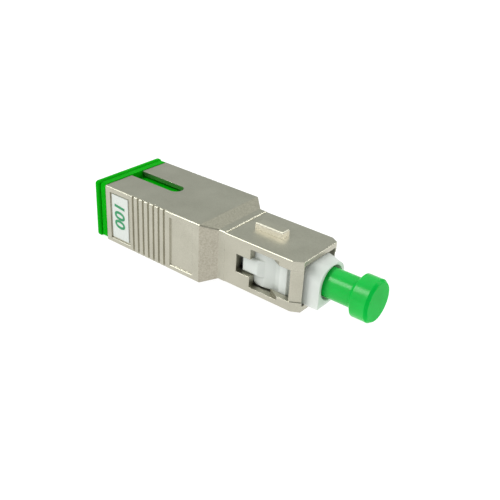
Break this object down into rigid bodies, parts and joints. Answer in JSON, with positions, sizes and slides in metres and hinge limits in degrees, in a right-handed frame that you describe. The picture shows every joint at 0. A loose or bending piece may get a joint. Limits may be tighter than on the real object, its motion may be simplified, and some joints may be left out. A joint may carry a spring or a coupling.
{
  "type": "fibre attenuator",
  "caption": "Plug-style fibre attenuator with a square push-pull plug, a keyed receptacle behind it, a sprung ferrule and two pull-off dust covers.",
  "frame": {"origin": "where the fibre axis crosses the shell's rear face, the mouth of the receptacle", "axes": "+X along the fibre towards the plug's nose, +Z towards the key, the label on the -Y side"},
  "size_m": [0.0442, 0.013, 0.0092],
  "materials": {
    "nickel_plate": "satin",
    "label_stock": "matte",
    "frame_plastic": "satin",
    "latch_plastic": "satin",
    "cap_plastic": "satin",
    "plug_plastic": "satin",
    "zirconia": "gloss",
    "collar_metal": "satin",
    "spring_steel": "satin",
    "silica": "polished"
  },
  "bodies": {
    "housing": {"metal_shell": "nickel_plate", "side_label": "label_stock"},
    "core": {"plug_frame": "frame_plastic", "rear_latch": "latch_plastic", "split_sleeve": "zirconia", "stop_ring": "latch_plastic", "coil_spring": "spring_steel"},
    "ferrule_unit": {"ferrule": "zirconia", "ferrule_collar": "collar_metal", "doped_fibre": "silica"},
    "cap": {"ferrule_cap": "cap_plastic"},
    "plug": {"dust_plug": "plug_plastic"}
  },
  "joints": [
    {"name": "unlock_slide", "type": "slide", "parent": "housing", "child": "core", "axis": [1, 0, 0], "range_m": [0, 0.002]},
    {"name": "ferrule_float", "type": "slide", "parent": "core", "child": "ferrule_unit", "axis": [1, 0, 0], "range_m": [-0.0008, 0], "stiffness_N_per_m": 1000, "deforming": ["coil_spring"]},
    {"name": "cap_pull", "type": "slide", "parent": "ferrule_unit", "child": "cap", "axis": [1, 0, 0], "range_m": [0, 0.015]},
    {"name": "dust_plug_pull", "type": "slide", "parent": "housing", "child": "plug", "axis": [-1, 0, 0], "range_m": [0, 0.015]}
  ]
}
